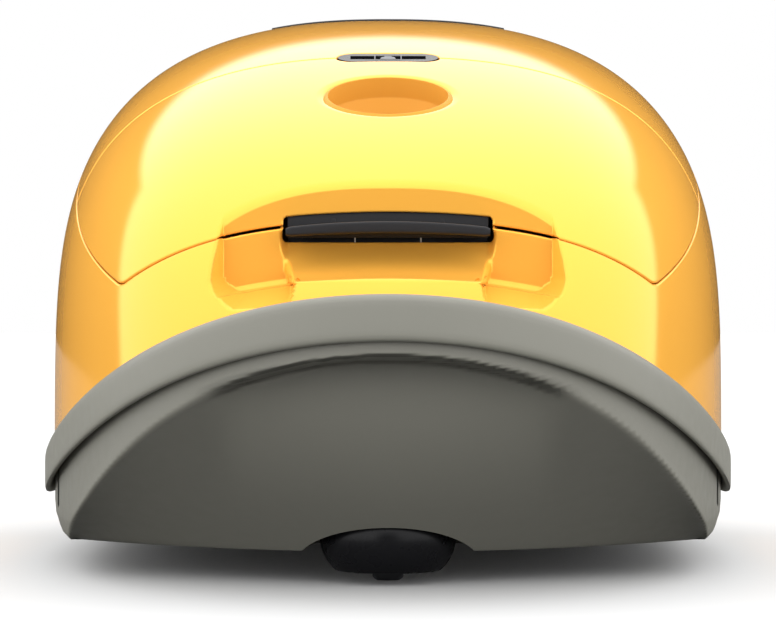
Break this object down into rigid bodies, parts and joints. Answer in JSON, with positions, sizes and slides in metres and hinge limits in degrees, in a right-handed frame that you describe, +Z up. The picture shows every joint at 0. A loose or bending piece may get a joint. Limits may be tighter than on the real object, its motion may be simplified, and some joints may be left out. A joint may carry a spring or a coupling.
{
  "type": "cylinder vacuum cleaner",
  "caption": "Bagged cylinder vacuum cleaner: domed yellow shell with a hinged bag lid, grey wrap-round bumper, scooped dark base, castor in front and two large rear wheels.",
  "frame": {"origin": "middle of the footprint, on the floor that the wheels and castor stand on", "axes": "+Z up, -Y towards the nose with the bumper and castor, +X to the right seen from the nose"},
  "size_m": [0.296, 0.4757, 0.2412],
  "materials": {
    "yellow_gloss": "high gloss moulded plastic, deep warm yellow",
    "light_grey": "satin moulded plastic, warm light grey",
    "dark_grey": "fine grained moulded plastic, warm dark grey",
    "black_gloss": "gloss black plastic",
    "black_matte": "matte black plastic",
    "rubber": "soft black rubber",
    "tyre": "soft wheel tread",
    "steel": "pressed and turned steel",
    "iron": "stacked iron sheets",
    "copper": "enamelled copper wire and copper bars",
    "carbon": "pressed carbon",
    "bag_paper": "non-woven bag fleece",
    "card": "pressed card",
    "filter_fleece": "white filter fleece",
    "clear": "smoked clear plastic window",
    "red": "red plastic flag",
    "board": "green lacquered circuit board"
  },
  "bodies": {
    "chassis": {"lower_housing": "dark_grey", "side_housing": "yellow_gloss", "control_cover": "yellow_gloss", "bumper": "light_grey", "dust_chamber": "dark_grey", "chamber_seal": "rubber", "bag_holder": "dark_grey", "bag_collar": "card", "dust_bag": "bag_paper", "motor_filter": "filter_fleece", "filter_frame": "dark_grey", "motor_mounts": "rubber", "fan_housing": "steel", "motor_frame": "steel", "stator_core": "iron", "field_coils": "copper", "carbon_brushes": "carbon", "motor_bearings": "steel", "exhaust_filter": "filter_fleece", "cord_outlet": "black_matte", "carry_handle": "black_matte", "reel_base": "dark_grey", "circuit_board": "board", "power_switch": "black_matte", "dial_control": "black_matte", "housing_screws": "steel", "wheel_axles": "steel", "castor_mount": "steel", "parking_socket": "black_matte", "hinge_bracket": "black_matte", "motor_leads": "rubber", "indicator_window": "clear", "indicator_housing": "black_matte"},
    "lid": {"dust_lid": "yellow_gloss", "hose_socket": "yellow_gloss", "socket_seal": "rubber", "hinge_arms": "black_matte", "lever_bracket": "black_matte"},
    "latch": {"release_lever": "black_gloss"},
    "flag": {"indicator_flag": "red"},
    "castor": {"castor_fork": "black_gloss", "castor_axle": "steel"},
    "castor_roller": {"castor_wheel": "tyre"},
    "wheel_left": {"left_wheel": "dark_grey", "left_tyre": "tyre", "left_hub_cap": "light_grey"},
    "wheel_right": {"right_wheel": "dark_grey", "right_tyre": "tyre", "right_hub_cap": "light_grey"},
    "rotor": {"rotor_shaft": "steel", "impeller": "steel", "armature": "copper", "commutator": "copper"},
    "reel": {"reel_drum": "light_grey", "reel_spring": "steel"},
    "brake": {"brake_lever": "black_matte"},
    "pedal_power": {"power_pedal": "dark_grey"},
    "pedal_rewind": {"rewind_pedal": "dark_grey"},
    "dial": {"power_dial": "dark_grey"},
    "rear_grille": {"exhaust_cover": "dark_grey"}
  },
  "joints": [
    {"name": "lid_hinge", "type": "hinge", "parent": "chassis", "child": "lid", "pos_m": [0, -0.046, 0.203], "axis": [-1, 0, 0], "range_deg": [0, 62]},
    {"name": "latch_press", "type": "hinge", "parent": "lid", "child": "latch", "pos_m": [0, -0.183, 0.138], "axis": [-1, 0, 0], "range_deg": [0, 6], "stiffness_Nm_per_rad": 0.6, "springref_deg": -5.73},
    {"name": "flag_slide", "type": "slide", "parent": "chassis", "child": "flag", "axis": [1, 0, 0], "range_m": [0, 0.016], "stiffness_N_per_m": 8, "springref_m": -0.002},
    {"name": "castor_swivel", "type": "hinge", "parent": "chassis", "child": "castor", "pos_m": [0, -0.133, 0.03], "axis": [0, 0, 1], "continuous": true},
    {"name": "castor_roll", "type": "hinge", "parent": "castor", "child": "castor_roller", "pos_m": [0, -0.121, 0.0125], "axis": [1, 0, 0], "continuous": true},
    {"name": "left_wheel_roll", "type": "hinge", "parent": "chassis", "child": "wheel_left", "pos_m": [0.128, 0.137, 0.052], "axis": [1, 0, 0], "continuous": true},
    {"name": "right_wheel_roll", "type": "hinge", "parent": "chassis", "child": "wheel_right", "pos_m": [-0.128, 0.137, 0.052], "axis": [1, 0, 0], "continuous": true},
    {"name": "rotor_spin", "type": "hinge", "parent": "chassis", "child": "rotor", "pos_m": [0, 0.012, 0.098], "axis": [0, 1, 0], "continuous": true},
    {"name": "reel_spin", "type": "hinge", "parent": "chassis", "child": "reel", "pos_m": [0, 0.15, 0.08], "axis": [0, 0, 1], "continuous": true},
    {"name": "rewind_press", "type": "slide", "parent": "chassis", "child": "pedal_rewind", "axis": [0, 0, -1], "range_m": [0, 0.005], "stiffness_N_per_m": 800, "springref_m": -0.002},
    {"name": "brake_release", "type": "hinge", "parent": "chassis", "child": "brake", "pos_m": [-0.084, 0.13, 0.07], "axis": [0, 0, -1], "range_deg": [0, 8.1]},
    {"name": "power_press", "type": "slide", "parent": "chassis", "child": "pedal_power", "axis": [0, 0, -1], "range_m": [0, 0.005], "stiffness_N_per_m": 800, "springref_m": -0.002},
    {"name": "dial_turn", "type": "hinge", "parent": "chassis", "child": "dial", "pos_m": [0, 0.165, 0.2316], "axis": [0, 0.3355, 0.9421], "range_deg": [-135, 135]},
    {"name": "grille_hinge", "type": "hinge", "parent": "chassis", "child": "rear_grille", "pos_m": [0, 0.237, 0.118], "axis": [-1, 0, 0], "range_deg": [0, 70]}
  ],
  "couplings": [
    {"joint": "brake_release", "follows": "rewind_press", "rad_per_m": 27.925}
  ]
}
